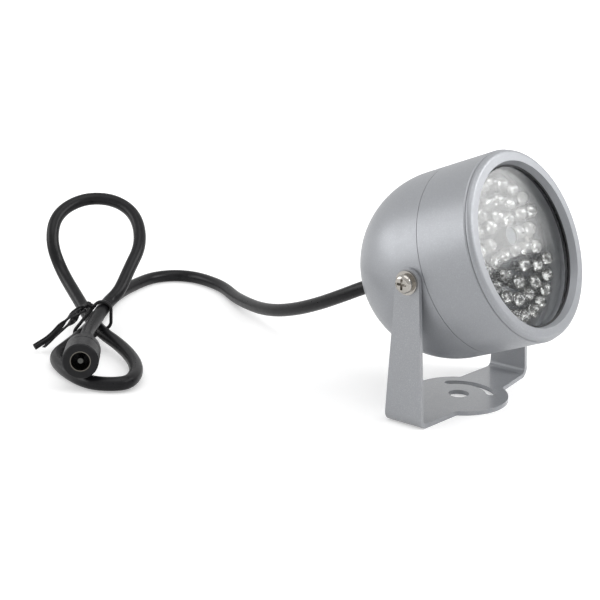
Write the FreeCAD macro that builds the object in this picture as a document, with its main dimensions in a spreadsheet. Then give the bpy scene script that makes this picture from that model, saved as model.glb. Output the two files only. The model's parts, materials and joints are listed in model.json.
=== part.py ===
import FreeCAD, Part
import math
import os

import Sketcher

# Infrared illuminator: a round lamp head that tilts in a folded U bracket, with a short
# cord that is bundled in a figure of eight and ends in a round supply socket.
# Frame: origin at the centre of the bracket's base disc, on its underside. Z points up
# and the lamp faces -Y. The tilt axis runs along X.

doc = FreeCAD.newDocument("infrared_illuminator")
Vector = FreeCAD.Vector

# Driving dimensions in millimetres and degrees.
DIMENSIONS = {
    # bracket
    "sheet_thickness": 1.6,
    "bend_radius": 2.0,
    "disc_radius": 17.8,
    "neck_width": 18.2,
    "neck_fillet": 1.2,
    "leg_width": 15.0,
    "leg_top_radius": 4.7,
    "leg_gap": 0.25,
    "pivot_height": 51.3,
    "pivot_hole": 4.3,
    "base_hole": 7.4,
    "slot_radius": 11.7,
    "slot_width": 3.5,
    "slot_half_angle": 50.0,
    # lamp head, measured along its own axis from the tilt axis
    "head_pitch": 22.5,
    "head_radius": 33.75,
    "wall": 2.0,
    "front_reach": 27.6,
    "seam_reach": 5.5,
    "seam_gap": 0.2,
    "dome_setback": 3.9,
    "rear_flat_radius": 9.0,
    "thread_gap": 0.1,
    "bore_wall": 3.75,
    "groove_reach": 15.4,
    "groove_width": 2.3,
    "seal_section": 1.0,
    "seal_gap": 0.02,
    "rim_wall": 1.45,
    "rim_chamfer": 0.4,
    "shelf_width": 1.0,
    "shelf_thickness": 1.6,
    # bezel, window and its seals
    "bezel_inset": 0.45,
    "bezel_rounding": 1.6,
    "bezel_flange": 2.0,
    "bezel_gap": 0.2,
    "skirt_wall": 1.3,
    "skirt_length": 4.2,
    "bezel_face": 4.1,
    "opening_flare_width": 0.8,
    "window_setback": 2.5,
    "front_seal": 0.4,
    "rear_seal": 0.8,
    "front_seal_width": 2.9,
    "window_gap": 0.3,
    "window_thickness": 3.0,
    # board with its emitters and light sensor
    "board_to_window": 10.9,
    "board_gap": 2.8,
    "board_edge": 0.9,
    "board_thickness": 1.6,
    "board_turn": 2.8,
    "emitter_flange": 5.8,
    "flange_height": 1.0,
    "emitter_body": 4.9,
    "emitter_height": 8.6,
    "emitter_gap": 0.1,
    "ring_step": 6.0,
    "outer_spacing": 6.05,
    "middle_spacing": 6.7,
    "sensor_offset": 4.4,
    "sleeve_diameter": 7.1,
    "sleeve_wall": 0.6,
    "sleeve_height": 9.6,
    "sensor_gap": 0.1,
    "sensor_thickness": 2.1,
    "sensor_recess": 0.5,
    "sensor_wire": 0.5,
    "sensor_wire_pitch": 3.4,
    # screws that hold the board, and their posts
    "post_radius": 2.8,
    "board_screw": 3.0,
    "board_screw_length": 8.0,
    "screw_tip_gap": 0.6,
    "board_screw_head": 5.4,
    "board_screw_head_height": 1.8,
    "screw_fit": 0.03,
    "hole_gap": 0.1,
    # tilt screws, their bosses and washers
    "boss_radius": 4.4,
    "boss_height": 13.45,
    "pad_gap": 0.05,
    "tilt_screw": 4.0,
    "tilt_screw_length": 8.0,
    "tilt_hole_depth": 6.8,
    "tilt_screw_head": 6.6,
    "tilt_screw_head_height": 2.5,
    "cross_length": 3.8,
    "cross_width": 0.9,
    "cross_depth": 1.3,
    "washer_diameter": 8.3,
    "washer_thickness": 0.8,
    # cord, its gland and stop, and the wires inside
    "cord_diameter": 5.2,
    "cord_gap": 0.05,
    "gland_flange": 10.4,
    "gland_thickness": 1.5,
    "gland_neck": 8.4,
    "gland_inner_flange": 10.0,
    "gland_inner_thickness": 1.2,
    "cord_inside": 10.0,
    "stop_wall": 1.1,
    "stop_width": 2.5,
    "stop_lock": 3.6,
    "wire_diameter": 1.3,
    "wire_pitch": 2.2,
    "wire_end_spread": 9.0,
    "wire_end_drop": 12.0,
    # parts on the back of the board
    "resistor_diameter": 1.9,
    "resistor_length": 5.2,
    "resistor_pitch": 5.6,
    "resistor_row": 14.0,
    "diode_diameter": 2.7,
    "diode_length": 5.2,
    "transistor_width": 4.8,
    "transistor_height": 3.6,
    "small_part_offset": 13.0,
    # supply socket on the cord's end
    "tail_length": 15.5,
    "tail_end_diameter": 5.6,
    "tail_root_diameter": 5.2,
    "socket_shoulder": 0.9,
    "socket_shoulder_diameter": 11.4,
    "socket_ring": 3.8,
    "socket_ring_diameter": 13.0,
    "socket_ring_groove": 0.8,
    "socket_ring_depth": 0.4,
    "socket_diameter": 13.2,
    "socket_collar": 10.0,
    "socket_chamfer": 0.4,
    "contact_diameter": 7.5,
    "contact_wall": 0.3,
    "contact_depth": 9.5,
    "centre_pin": 2.0,
    "pin_setback": 0.8,
    # twist tie
    "tie_width": 1.8,
    "tie_thickness": 0.45,
    "tie_gap": 0.35,
    "knot_width": 2.7,
}

sheet = doc.addObject("Spreadsheet::Sheet", "dims")
for row, (word, number) in enumerate(DIMENSIONS.items(), start=1):
    sheet.set("A%d" % row, word)
    sheet.set("B%d" % row, str(number))
    sheet.setAlias("B%d" % row, word)
doc.recompute()


class Size:
    """A length or angle: its value now, and the expression that ties it to the sheet."""

    def __init__(self, value, text):
        self.value = value
        self.text = text

    def __add__(self, other):
        other = size(other)
        return Size(self.value + other.value, "(%s + %s)" % (self.text, other.text))

    def __sub__(self, other):
        other = size(other)
        return Size(self.value - other.value, "(%s - %s)" % (self.text, other.text))

    def __mul__(self, other):
        other = size(other)
        return Size(self.value * other.value, "(%s * %s)" % (self.text, other.text))

    def __truediv__(self, other):
        other = size(other)
        return Size(self.value / other.value, "(%s / %s)" % (self.text, other.text))

    def __neg__(self):
        return size(0) - self


def size(item):
    """A dimension by its name in the sheet, or a plain number."""
    if isinstance(item, Size):
        return item
    if isinstance(item, str):
        return Size(float(sheet.get(item)), "dims." + item)
    return Size(float(item), repr(float(item)))


def root(item):
    """The square root of a size."""
    return Size(math.sqrt(item.value), "sqrt(%s)" % item.text)


def cosine(item):
    """The cosine of an angle in degrees."""
    return Size(math.cos(math.radians(item.value)), "cos(%s)" % item.text)


def sine(item):
    """The sine of an angle in degrees."""
    return Size(math.sin(math.radians(item.value)), "sin(%s)" % item.text)


def reach_on_circle(radius, across):
    """How far along one axis a circle lies at the distance across from that axis."""
    return root(radius * radius - across * across)


# Sizes that several pieces share.
zero = size(0)
sheet_thickness = size("sheet_thickness")
head_radius = size("head_radius")
inner_radius = head_radius - size("wall")
bore_radius = head_radius - size("bore_wall")
shelf_radius = bore_radius - size("shelf_width")
rim_radius = head_radius - size("rim_wall")
leg_inside = head_radius + size("leg_gap")
leg_outside = leg_inside + sheet_thickness
pivot_height = size("pivot_height")
head_turn = size(90) - size("head_pitch")
dome_centre = -size("dome_setback")
rear_flat = dome_centre - reach_on_circle(head_radius, size("rear_flat_radius"))
seam = size("seam_reach")
front = size("front_reach")
window_front = front - size("window_setback") - size("front_seal")
window_back = window_front - size("window_thickness")
skirt_outside = rim_radius - size("thread_gap")
skirt_inside = skirt_outside - size("skirt_wall")
window_radius = skirt_inside - size("window_gap")
shelf_front = window_back - size("rear_seal")
board_front = window_back - size("board_to_window")
board_back = board_front - size("board_thickness")
board_radius = bore_radius - size("board_gap")
outer_ring = board_radius - size("board_edge") - size("emitter_flange") / 2
post_x = outer_ring * cosine(size("board_turn"))
post_y = outer_ring * sine(size("board_turn"))
cord_radius = size("cord_diameter") / 2
gland_back = rear_flat - size("gland_thickness")
gland_front = rear_flat + size("wall") + size("gland_inner_thickness")

pieces = []


def keep(piece):
    """Register a finished sub-part: its name is its node's name."""
    piece.Label = piece.Name
    pieces.append(piece)
    return piece


def on_head(piece, x=zero, y=zero, z=zero):
    """Place a piece by its point in the tilted head's own axes."""
    height = pivot_height + y * sine(head_turn) + z * cosine(head_turn)
    depth = y * cosine(head_turn) - z * sine(head_turn)
    turn = FreeCAD.Rotation(Vector(1, 0, 0), head_turn.value)
    piece.Placement = FreeCAD.Placement(Vector(x.value, depth.value, height.value), turn)
    piece.setExpression("Placement.Base.x", x.text)
    piece.setExpression("Placement.Base.y", depth.text)
    piece.setExpression("Placement.Base.z", height.text)
    piece.setExpression("Placement.Rotation.Angle", head_turn.text)
    return keep(piece)


def at_pivot(piece, side, reach):
    """Place a piece on the tilt axis, pointing outwards: side is -1 or 1 along X."""
    outward = reach * side
    turn = FreeCAD.Rotation(Vector(0, 1, 0), 90 * side)
    piece.Placement = FreeCAD.Placement(Vector(outward.value, 0, pivot_height.value), turn)
    piece.setExpression("Placement.Base.x", outward.text)
    piece.setExpression("Placement.Base.z", pivot_height.text)
    return keep(piece)


def new_body(name):
    """A body that becomes one node."""
    return doc.addObject("PartDesign::Body", name)


def new_sketch(body, name, role, lift=zero):
    """A sketch on one of the body's origin planes, moved along its normal by lift."""
    sketch = body.newObject("Sketcher::SketchObject", name)
    plane = [feature for feature in body.Origin.OriginFeatures if feature.Role == role][0]
    sketch.AttachmentSupport = [(plane, "")]
    sketch.MapMode = "FlatFace"
    sketch.AttachmentOffset = FreeCAD.Placement(Vector(0, 0, lift.value), FreeCAD.Rotation())
    sketch.setExpression("AttachmentOffset.Base.z", lift.text)
    return sketch


def pin(sketch, kind, geometry, end, distance):
    """Hold one coordinate of a point at a distance from the sketch's origin."""
    index = sketch.addConstraint(
        Sketcher.Constraint(kind, -1, 1, geometry, end, distance.value))
    sketch.setExpression("Constraints[%d]" % index, distance.text)


def outline(sketch, corners, arcs=None):
    """Add a closed outline through the corners. arcs gives, for the stretch that starts at
    a corner's number, the arc's centre and whether it turns left."""
    arcs = arcs or {}
    corners = [(size(x), size(y)) for x, y in corners]
    count = len(corners)
    first = sketch.GeometryCount
    ends = []
    for number, (x, y) in enumerate(corners):
        next_x, next_y = corners[(number + 1) % count]
        start = Vector(x.value, y.value, 0)
        stop = Vector(next_x.value, next_y.value, 0)
        if number not in arcs:
            sketch.addGeometry(Part.LineSegment(start, stop))
            ends.append((1, 2))
            continue
        (centre_x, centre_y), turns_left = arcs[number]
        middle = Vector(centre_x.value, centre_y.value, 0)
        angles = [math.atan2(p.y - middle.y, p.x - middle.x) for p in (start, stop)]
        if not turns_left:
            angles.reverse()
        circle = Part.Circle(middle, Vector(0, 0, 1), (start - middle).Length)
        index = sketch.addGeometry(Part.ArcOfCircle(circle, angles[0], angles[1]))
        pin(sketch, "DistanceX", index, 3, centre_x)
        pin(sketch, "DistanceY", index, 3, centre_y)
        ends.append((1, 2) if turns_left else (2, 1))
    for number in range(count):
        after = (number + 1) % count
        sketch.addConstraint(Sketcher.Constraint(
            "Coincident", first + number, ends[number][1], first + after, ends[after][0]))
    for number, (x, y) in enumerate(corners):
        before = (number - 1) % count
        start = ends[number][0]
        # where an arc ends, its radius already holds the other coordinate
        held_x = held_y = False
        if before in arcs:
            centre_x, centre_y = arcs[before][0]
            held_x = abs((x - centre_x).value) > abs((y - centre_y).value)
            held_y = not held_x
        if not held_x:
            pin(sketch, "DistanceX", first + number, start, x)
        if not held_y:
            pin(sketch, "DistanceY", first + number, start, y)
    return sketch


def circle(sketch, x, y, radius):
    """Add a circle to a sketch."""
    shape = Part.Circle(Vector(x.value, y.value, 0), Vector(0, 0, 1), radius.value)
    index = sketch.addGeometry(shape)
    pin(sketch, "DistanceX", index, 3, x)
    pin(sketch, "DistanceY", index, 3, y)
    datum = sketch.addConstraint(Sketcher.Constraint("Radius", index, radius.value))
    sketch.setExpression("Constraints[%d]" % datum, radius.text)
    return sketch


def extrude(body, name, kind, sketch, length, upwards=False, both_ways=False):
    """A Pad along the sketch's normal, or a Pocket against it unless it goes upwards."""
    before = body.Shape.Volume if body.Tip else 0.0
    feature = body.newObject("PartDesign::" + kind, name)
    feature.Profile = sketch
    feature.Length = length.value
    feature.setExpression("Length", length.text)
    feature.Reversed = upwards
    feature.Midplane = both_ways
    sketch.Visibility = False
    doc.recompute()
    check_volume(body, feature, before)
    return feature


def check_volume(body, feature, before):
    """A cut has to take something away, and anything else has to add to the body."""
    grown = body.Shape.Volume - before
    cuts = feature.TypeId in ("PartDesign::Pocket", "PartDesign::Groove")
    if (cuts and grown >= 0) or (not cuts and grown <= 0):
        raise RuntimeError("%s changes nothing" % feature.Name)


def turned(name, corners, arcs=None):
    """A body of revolution about its Z axis: corners are (radius, height)."""
    body = new_body(name)
    sketch = outline(new_sketch(body, name + "_profile", "XZ_Plane"), corners, arcs)
    feature = body.newObject("PartDesign::Revolution", name + "_turned")
    feature.Profile = sketch
    feature.ReferenceAxis = (sketch, ["V_Axis"])
    feature.Angle = 360.0
    doc.recompute()
    return body


def ring(name, inside, outside, low, high):
    """A plain ring, or a disc where inside is zero."""
    return turned(name, [(inside, low), (outside, low), (outside, high), (inside, high)])


def make_bracket():
    """The bracket: one strip with a round foot, folded up into two legs."""
    body = new_body("bracket")
    disc = size("disc_radius")
    neck = size("neck_width") / 2
    leg = size("leg_width") / 2
    bend = size("bend_radius")
    bend_start = leg_inside - bend
    bend_height = sheet_thickness + bend
    neck_start = reach_on_circle(disc, neck)

    foot = outline(new_sketch(body, "foot_outline", "XY_Plane"), [
        (bend_start, -leg),
        (bend_start, leg),
        (neck_start, neck),
        (-neck_start, neck),
        (-bend_start, leg),
        (-bend_start, -leg),
        (-neck_start, -neck),
        (neck_start, -neck),
    ], {2: ((zero, zero), True), 6: ((zero, zero), True)})
    foot_pad = extrude(body, "foot", "Pad", foot, sheet_thickness)

    junctions = []
    for number, edge in enumerate(foot_pad.Shape.Edges, start=1):
        middle = edge.CenterOfMass
        upright = abs(edge.Length - sheet_thickness.value) < 1e-6
        at_disc = abs(abs(middle.x) - neck_start.value) < 1e-3
        if upright and at_disc:
            junctions.append("Edge%d" % number)
    fillet = body.newObject("PartDesign::Fillet", "neck_fillets")
    fillet.Base = (foot_pad, junctions)
    fillet.Radius = size("neck_fillet").value
    fillet.setExpression("Radius", size("neck_fillet").text)
    doc.recompute()

    # a straight line from the bend touches the round end of the leg here
    drop = pivot_height - bend_height
    top = size("leg_top_radius")
    span = leg * leg + drop * drop
    tangent = root(span - top * top)
    touch_x = (top * top * leg + top * tangent * drop) / span
    touch_y = pivot_height + (top * tangent * leg - top * top * drop) / span
    for side, word in ((-1, "left"), (1, "right")):
        fold = new_sketch(body, word + "_fold_section", "XZ_Plane")
        centre = (bend_start * side, bend_height)
        outline(fold, [
            (bend_start * side, zero),
            (leg_outside * side, bend_height),
            (leg_inside * side, bend_height),
            (bend_start * side, sheet_thickness),
        ], {0: (centre, side > 0), 2: (centre, side < 0)})
        extrude(body, word + "_fold", "Pad", fold, size("leg_width"), both_ways=True)
        lift = leg_inside if side > 0 else -leg_outside
        upright = outline(new_sketch(body, word + "_leg_outline", "YZ_Plane", lift), [
            (-leg, bend_height),
            (leg, bend_height),
            (touch_x, touch_y),
            (-touch_x, touch_y),
        ], {2: ((zero, pivot_height), True)})
        extrude(body, word + "_leg", "Pad", upright, sheet_thickness)

    through = leg_outside * 2 + 2
    pivot = circle(new_sketch(body, "pivot_hole_outline", "YZ_Plane"),
                   zero, pivot_height, size("pivot_hole") / 2)
    extrude(body, "pivot_holes", "Pocket", pivot, through, both_ways=True)
    hole = circle(new_sketch(body, "base_hole_outline", "XY_Plane"),
                  zero, zero, size("base_hole") / 2)
    extrude(body, "base_hole", "Pocket", hole, sheet_thickness + 1, upwards=True)

    # the arc slot: its middle stretch is turned, its two ends are round
    slot = size("slot_radius")
    half = size("slot_width") / 2
    end_x = slot * cosine(size("slot_half_angle"))
    end_y = slot * sine(size("slot_half_angle"))
    before = body.Shape.Volume
    section = outline(new_sketch(body, "slot_section", "XZ_Plane"), [
        (slot - half, size(-1)),
        (slot + half, size(-1)),
        (slot + half, sheet_thickness + 1),
        (slot - half, sheet_thickness + 1),
    ])
    groove = body.newObject("PartDesign::Groove", "slot_arc")
    groove.Profile = section
    groove.ReferenceAxis = (section, ["V_Axis"])
    groove.Midplane = True
    groove.Angle = 2 * size("slot_half_angle").value
    groove.setExpression("Angle", "2 * dims.slot_half_angle")
    doc.recompute()
    check_volume(body, groove, before)
    for name, y in (("slot_end_left", -end_y), ("slot_end_right", end_y)):
        end = circle(new_sketch(body, name + "_outline", "XY_Plane"), end_x, y, half)
        extrude(body, name, "Pocket", end, sheet_thickness + 1, upwards=True)
    return keep(body)


def make_rear_housing():
    """The rear casting: dome, spigot, tilt bosses and the posts that carry the board."""
    spigot_radius = inner_radius - size("thread_gap")
    spigot_front = size("groove_reach") - size("groove_width")
    step = seam - size("wall")
    seal_low = seam + size("seal_section")
    seal_high = seal_low + size("seal_section") + size("seal_gap") * 2
    seal_depth = inner_radius - size("seal_section") - size("seal_gap") * 2
    rear_inside = rear_flat + size("wall")
    inner_flat = reach_on_circle(inner_radius, dome_centre - rear_inside)
    body = turned("rear_housing", [
        (zero, rear_flat),
        (size("rear_flat_radius"), rear_flat),
        (head_radius, dome_centre),
        (head_radius, seam),
        (spigot_radius, seam),
        (spigot_radius, seal_low),
        (seal_depth, seal_low),
        (seal_depth, seal_high),
        (spigot_radius, seal_high),
        (spigot_radius, spigot_front),
        (bore_radius, spigot_front),
        (bore_radius, step),
        (inner_radius, step - (inner_radius - bore_radius)),
        (inner_radius, dome_centre),
        (inner_flat, rear_inside),
        (zero, rear_inside),
    ], {1: ((zero, dome_centre), True), 13: ((zero, dome_centre), False)})

    pad_face = leg_inside - size("pad_gap")
    boss_length = size("boss_height")
    boss_inside = pad_face - boss_length
    tap_radius = size("tilt_screw") / 2
    for side, word in ((-1, "left"), (1, "right")):
        lift = boss_inside if side > 0 else -pad_face
        boss = circle(new_sketch(body, word + "_boss_outline", "YZ_Plane", lift),
                      zero, zero, size("boss_radius"))
        extrude(body, word + "_boss", "Pad", boss, boss_length)
        post = circle(new_sketch(body, word + "_post_outline", "XY_Plane"),
                      post_x * side, post_y * side, size("post_radius"))
        extrude(body, word + "_post", "Pad", post, board_back)
        tap = circle(new_sketch(body, word + "_tap_outline", "YZ_Plane", pad_face * side),
                     zero, zero, tap_radius)
        extrude(body, word + "_tap", "Pocket", tap, size("tilt_hole_depth"), upwards=side < 0)
        screw_hole = circle(
            new_sketch(body, word + "_post_hole_outline", "XY_Plane", board_back),
            post_x * side, post_y * side, size("board_screw") / 2)
        hole_depth = (size("board_screw_length") - size("board_thickness")
                      + size("screw_tip_gap"))
        extrude(body, word + "_post_hole", "Pocket", screw_hole, hole_depth)
    cord_hole = circle(new_sketch(body, "cord_hole_outline", "XY_Plane", rear_inside + 1),
                       zero, zero, size("gland_neck") / 2)
    extrude(body, "cord_hole", "Pocket", cord_hole, size("wall") + 2)
    return on_head(body)


def make_housing_seal():
    """The seal ring in the spigot's groove, pressed against the barrel."""
    low = seam + size("seal_section") + size("seal_gap")
    inside = inner_radius - size("seal_section") - size("seal_gap")
    outside = inner_radius - size("seal_gap")
    return on_head(ring("housing_seal", inside, outside, low, low + size("seal_section")))


def make_front_housing():
    """The barrel: it screws onto the spigot and has a shelf for the window."""
    low = seam + size("seam_gap")
    high = front - size("bezel_flange") - size("bezel_gap")
    chamfer = size("rim_chamfer")
    shelf_back = shelf_front - size("shelf_thickness")
    return on_head(turned("front_housing", [
        (inner_radius, low),
        (head_radius, low),
        (head_radius, high - chamfer),
        (head_radius - chamfer, high),
        (rim_radius, high),
        (rim_radius, shelf_front),
        (shelf_radius, shelf_front),
        (shelf_radius, shelf_back),
        (bore_radius, shelf_back),
        (bore_radius, size("groove_reach")),
        (inner_radius, size("groove_reach")),
    ]))


def make_bezel():
    """The bezel ring: rounded flange, tapered opening and the skirt in the barrel's rim."""
    radius = head_radius - size("bezel_inset")
    rounding = size("bezel_rounding")
    flange_back = front - size("bezel_flange")
    seat = front - size("window_setback")
    opening = radius - size("bezel_face")
    return on_head(turned("bezel_ring", [
        (opening - size("opening_flare_width"), seat),
        (skirt_inside, seat),
        (skirt_inside, flange_back - size("skirt_length")),
        (skirt_outside, flange_back - size("skirt_length")),
        (skirt_outside, flange_back),
        (radius, flange_back),
        (radius, front - rounding),
        (radius - rounding, front),
        (opening, front),
    ], {6: ((radius - rounding, front - rounding), True)}))


def make_window():
    """The window glass between its two seals."""
    seal_inside = window_radius - size("front_seal_width")
    on_head(ring("front_window_seal", seal_inside, window_radius,
                 window_front, window_front + size("front_seal")))
    on_head(ring("window_glass", zero, window_radius, window_back, window_front))
    on_head(ring("rear_window_seal", shelf_radius, window_radius,
                 shelf_front, window_back))


def make_board():
    """The round board, with a hole at each post."""
    body = new_body("emitter_board")
    disc = new_sketch(body, "board_outline", "XY_Plane", board_back)
    circle(disc, zero, zero, board_radius)
    hole_radius = size("board_screw") / 2 + size("hole_gap")
    for side in (-1, 1):
        circle(disc, post_x * side, post_y * side, hole_radius)
    extrude(body, "board_plate", "Pad", disc, size("board_thickness"))
    return on_head(body)


def emitter():
    """One clear emitter: flange, round body and domed top."""
    flange = size("emitter_flange").value / 2
    radius = size("emitter_body").value / 2
    step = size("flange_height").value
    shoulder = size("emitter_height").value - radius
    slope = radius * math.sqrt(0.5)
    corners = [
        Vector(0, 0, 0),
        Vector(flange, 0, 0),
        Vector(flange, 0, step),
        Vector(radius, 0, step),
        Vector(radius, 0, shoulder),
    ]
    top = Vector(0, 0, shoulder + radius)
    edges = [Part.LineSegment(a, b).toShape() for a, b in zip(corners, corners[1:])]
    edges.append(Part.Arc(corners[-1], Vector(slope, 0, shoulder + slope), top).toShape())
    edges.append(Part.LineSegment(top, corners[0]).toShape())
    face = Part.Face(Part.Wire(edges))
    return face.revolve(Vector(0, 0, 0), Vector(0, 0, 1), 360)


def board_spot(place):
    """A point on the board's front from its radius and its angle on the turned board."""
    radius, angle = place
    turn = math.radians(angle + size("board_turn").value)
    return Vector(radius * math.cos(turn), radius * math.sin(turn), board_front.value)


def make_emitters(name, places):
    """One node of like emitters, at (radius, angle) places on the board."""
    shapes = []
    for place in places:
        shape = emitter()
        shape.translate(board_spot(place))
        shapes.append(shape)
    group = doc.addObject("Part::Feature", name)
    group.Shape = Part.makeCompound(shapes)
    return on_head(group)


def ring_places(radius, spacing):
    """An even number of places round a ring, at least this far apart."""
    count = 2 * int(math.pi * radius / spacing)
    return [(radius, 360 / count * (number + 0.5)) for number in range(count)]


def places_that_fit(places, taken):
    """The places whose emitter stands clear of the taken ones, of each other and of the
    sensor's sleeve."""
    flange = size("emitter_flange").value
    clear = flange + size("emitter_gap").value
    sensor = Vector(0, size("sensor_offset").value, board_front.value)
    beside_sensor = (flange + size("sleeve_diameter").value) / 2
    spots = [board_spot(place) for place in taken]
    kept = []
    for place in places:
        spot = board_spot(place)
        if spot.distanceToPoint(sensor) < beside_sensor:
            continue
        if all(spot.distanceToPoint(other) >= clear for other in spots):
            spots.append(spot)
            kept.append(place)
    return kept


# The inner group stands round the sensor: radius and angle of its middle ones and of those
# on one side, which the other side mirrors, as they stand inside a ring of this radius.
INNER_RING = 11.6
INNER_MIDDLE = ((12.0, 90.0), (11.8, -90.0))
INNER_SIDE = ((11.0, 59.0), (10.6, 21.5), (10.1, -12.5), (9.9, -48.3), (4.2, -18.4))


def make_light_source():
    """Two rings and an inner group; the outer ring leaves a place beside each screw."""
    outer = ring_places(outer_ring.value, size("outer_spacing").value)
    beside_screw = 360 / len(outer)
    outer = [place for place in outer if abs((place[1] + 90) % 180 - 90) > beside_screw]
    make_emitters("outer_emitters", outer)
    middle_ring = outer_ring.value - size("ring_step").value
    middle = ring_places(middle_ring, size("middle_spacing").value)
    make_emitters("middle_emitters", places_that_fit(middle, outer))
    inner_ring = middle_ring - size("emitter_flange").value
    growth = inner_ring / INNER_RING
    places = [(radius * growth, angle) for radius, angle in INNER_MIDDLE]
    for radius, angle in INNER_SIDE:
        places.append((radius * growth, angle))
        places.append((radius * growth, 180.0 - angle))
    make_emitters("inner_emitters", places_that_fit(places, middle))


def make_sensor():
    """The light sensor on its two wires, inside a dark sleeve of its own."""
    offset = size("sensor_offset")
    sleeve_inside = size("sleeve_diameter") / 2 - size("sleeve_wall")
    sleeve = new_body("sensor_sleeve")
    wall = new_sketch(sleeve, "sleeve_outline", "XY_Plane", board_front)
    circle(wall, zero, offset, size("sleeve_diameter") / 2)
    circle(wall, zero, offset, sleeve_inside)
    extrude(sleeve, "sleeve_wall", "Pad", wall, size("sleeve_height"))
    on_head(sleeve)

    sensor = new_body("light_sensor")
    disc_back = (board_front + size("sleeve_height") - size("sensor_recess")
                 - size("sensor_thickness"))
    disc = circle(new_sketch(sensor, "sensor_outline", "XY_Plane", disc_back),
                  zero, offset, sleeve_inside - size("sensor_gap"))
    extrude(sensor, "sensor_disc", "Pad", disc, size("sensor_thickness"))
    wires = new_sketch(sensor, "sensor_wire_outline", "XY_Plane", board_front)
    for side in (-1, 1):
        circle(wires, size("sensor_wire_pitch") / 2 * side, offset, size("sensor_wire") / 2)
    extrude(sensor, "sensor_wires", "Pad", wires, disc_back - board_front)
    return on_head(sensor)


def pan_screw(name, diameter, length, head, head_height):
    """A pan head screw, its head's underside at zero and its shank below."""
    shank = diameter / 2 - size("screw_fit")
    radius = head / 2
    rounding = head_height * 0.6
    lead_in = diameter * 0.1
    body = turned(name, [
        (zero, -length),
        (shank - lead_in, -length),
        (shank, lead_in - length),
        (shank, zero),
        (radius, zero),
        (radius, head_height - rounding),
        (radius - rounding, head_height),
        (zero, head_height),
    ], {5: ((radius - rounding, head_height - rounding), True)})
    return body


def cross_recess(body, name, head, head_height):
    """The cross recess, scaled to the screw's head."""
    share = head / size("tilt_screw_head")
    long_way = size("cross_length") / 2 * share
    wide = size("cross_width") / 2 * share
    cross = outline(new_sketch(body, name + "_cross", "XY_Plane", head_height), [
        (long_way, -wide), (long_way, wide), (wide, wide),
        (wide, long_way), (-wide, long_way), (-wide, wide),
        (-long_way, wide), (-long_way, -wide), (-wide, -wide),
        (-wide, -long_way), (wide, -long_way), (wide, -wide),
    ])
    extrude(body, name + "_recess", "Pocket", cross, size("cross_depth") * share)
    return body


def make_screws():
    """Tilt screws with their washers, and the two screws that hold the board."""
    washer_seat = leg_outside + size("pad_gap")
    head_seat = washer_seat + size("washer_thickness")
    for side, word in ((-1, "left"), (1, "right")):
        washer = ring(word + "_washer", size("pivot_hole") / 2, size("washer_diameter") / 2,
                      zero, size("washer_thickness"))
        at_pivot(washer, side, washer_seat)
        name = word + "_tilt_screw"
        screw = pan_screw(name, size("tilt_screw"), size("tilt_screw_length"),
                          size("tilt_screw_head"), size("tilt_screw_head_height"))
        cross_recess(screw, name, size("tilt_screw_head"), size("tilt_screw_head_height"))
        at_pivot(screw, side, head_seat)
        name = word + "_board_screw"
        screw = pan_screw(name, size("board_screw"), size("board_screw_length"),
                          size("board_screw_head"), size("board_screw_head_height"))
        cross_recess(screw, name, size("board_screw_head"), size("board_screw_head_height"))
        on_head(screw, post_x * side, post_y * side, board_front)


def make_gland():
    """The rubber gland in the back, the cord's end in it, and the tie that stops it."""
    hole = cord_radius + size("cord_gap")
    flange = size("gland_flange") / 2
    neck = size("gland_neck") / 2
    rear_inside = rear_flat + size("wall")
    inner_flange = size("gland_inner_flange") / 2
    bevel = size("gland_thickness") / 2
    on_head(turned("cord_gland", [
        (hole, gland_back),
        (flange - bevel, gland_back),
        (flange, gland_back + bevel),
        (flange, rear_flat),
        (neck, rear_flat),
        (neck, rear_inside),
        (inner_flange, rear_inside),
        (inner_flange, gland_front),
        (hole, gland_front),
    ]))
    cord_front = gland_back + size("cord_inside")
    on_head(ring("cord_inner_end", zero, cord_radius, gland_back, cord_front))

    stop = new_body("cord_stop")
    outside = hole + size("stop_wall")
    band = new_sketch(stop, "stop_outline", "XY_Plane", gland_front)
    circle(band, zero, zero, hole)
    circle(band, zero, zero, outside)
    extrude(stop, "stop_band", "Pad", band, size("stop_width"))
    lock = size("stop_lock")
    near = hole + size("stop_wall") / 2
    head = outline(new_sketch(stop, "stop_lock_outline", "XY_Plane", gland_front),
                   [(-lock / 2, near), (lock / 2, near),
                    (lock / 2, near + lock), (-lock / 2, near + lock)])
    extrude(stop, "stop_lock_block", "Pad", head, size("stop_width"))
    return on_head(stop)


def make_small_parts():
    """Resistors, the polarity diode and the switching transistor, behind the board."""
    radius = size("resistor_diameter").value / 2
    length = size("resistor_length").value
    shapes = []
    for row in (-1, 1):
        for number in range(4):
            x = (number - 1.5) * size("resistor_pitch").value
            y = row * size("resistor_row").value - length / 2
            start = Vector(x, y, board_back.value - radius)
            shapes.append(Part.makeCylinder(radius, length, start, Vector(0, 1, 0)))
    resistors = doc.addObject("Part::Feature", "series_resistors")
    resistors.Shape = Part.makeCompound(shapes)
    on_head(resistors)

    offset = size("small_part_offset")
    diode = new_body("polarity_diode")
    diode_back = offset - size("diode_length") / 2
    section = circle(new_sketch(diode, "diode_outline", "YZ_Plane", diode_back),
                     zero, board_back - size("diode_diameter") / 2,
                     size("diode_diameter") / 2)
    extrude(diode, "diode_case", "Pad", section, size("diode_length"))
    on_head(diode)
    transistor = new_body("switching_transistor")
    half = size("transistor_width") / 2
    case = outline(new_sketch(transistor, "transistor_outline", "XY_Plane",
                              board_back - size("transistor_height")),
                   [(-offset - half, -half), (half - offset, -half),
                    (half - offset, half), (-offset - half, half)])
    extrude(transistor, "transistor_case", "Pad", case, size("transistor_height"))
    on_head(transistor)


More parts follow.
